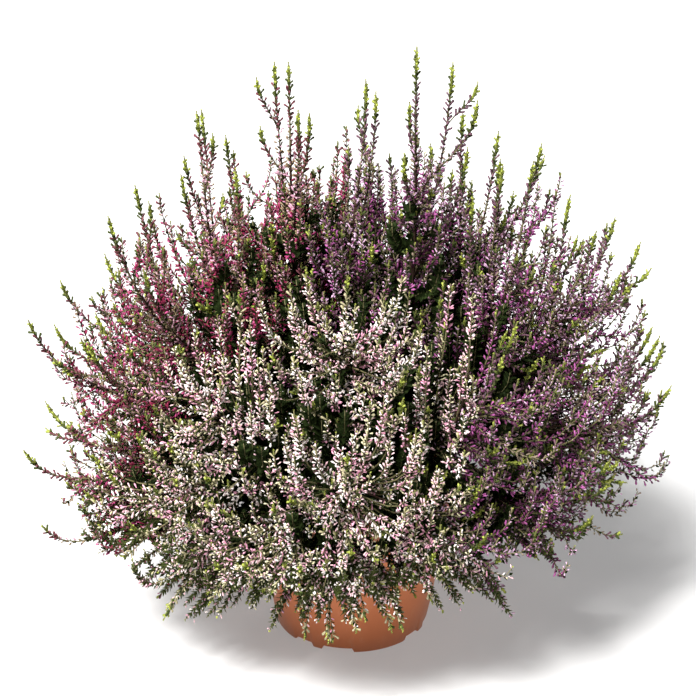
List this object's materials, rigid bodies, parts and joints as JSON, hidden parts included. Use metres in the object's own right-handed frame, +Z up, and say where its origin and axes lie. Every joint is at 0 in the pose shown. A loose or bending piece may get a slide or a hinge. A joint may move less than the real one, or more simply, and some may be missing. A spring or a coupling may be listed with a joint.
{
  "type": "potted heather",
  "caption": "Bushy bud heather with pale pink, magenta and purple spikes in a round terracotta-coloured plastic pot.",
  "frame": {"origin": "on the ground at the centre of the pot's underside", "axes": "+Z up along the pot's axis, -Y towards the side that the picture shows, +X to that side's right"},
  "size_m": [0.3548, 0.2973, 0.353],
  "materials": {
    "pot_plastic": "thin moulded plastic, terracotta-coloured",
    "compost": "dark moist compost",
    "bark": "thin brown bark",
    "foliage_pink": "cream to pale pink buds over green shoots",
    "foliage_magenta": "magenta buds over green shoots",
    "foliage_purple": "purple buds over green shoots"
  },
  "bodies": {
    "root": {"bough_magenta_1": "bark", "bough_magenta_2": "bark", "bough_magenta_3": "bark", "bough_magenta_4": "bark", "bough_magenta_5": "bark", "bough_magenta_6": "bark", "bough_magenta_7": "bark", "bough_magenta_8": "bark", "bough_magenta_9": "bark", "bough_pink_1": "bark", "bough_pink_2": "bark", "bough_pink_3": "bark", "bough_pink_4": "bark", "bough_pink_5": "bark", "bough_pink_6": "bark", "bough_pink_7": "bark", "bough_pink_8": "bark", "bough_pink_9": "bark", "bough_purple_1": "bark", "bough_purple_2": "bark", "bough_purple_3": "bark", "bough_purple_4": "bark", "bough_purple_5": "bark", "bough_purple_6": "bark", "bough_purple_7": "bark", "bough_purple_8": "bark", "bough_purple_9": "bark", "compost": "compost", "mass_magenta_1": "foliage_magenta", "mass_magenta_2": "foliage_magenta", "mass_magenta_3": "foliage_magenta", "mass_magenta_4": "foliage_magenta", "mass_magenta_5": "foliage_magenta", "mass_magenta_6": "foliage_magenta", "mass_magenta_7": "foliage_magenta", "mass_magenta_8": "foliage_magenta", "mass_magenta_9": "foliage_magenta", "mass_pink_1": "foliage_pink", "mass_pink_2": "foliage_pink", "mass_pink_3": "foliage_pink", "mass_pink_4": "foliage_pink", "mass_pink_5": "foliage_pink", "mass_pink_6": "foliage_pink", "mass_pink_7": "foliage_pink", "mass_pink_8": "foliage_pink", "mass_pink_9": "foliage_pink", "mass_purple_1": "foliage_purple", "mass_purple_2": "foliage_purple", "mass_purple_3": "foliage_purple", "mass_purple_4": "foliage_purple", "mass_purple_5": "foliage_purple", "mass_purple_6": "foliage_purple", "mass_purple_7": "foliage_purple", "mass_purple_8": "foliage_purple", "mass_purple_9": "foliage_purple", "pot": "pot_plastic", "trunk_magenta": "bark", "trunk_pink": "bark", "trunk_purple": "bark"}
  },
  "joints": []
}
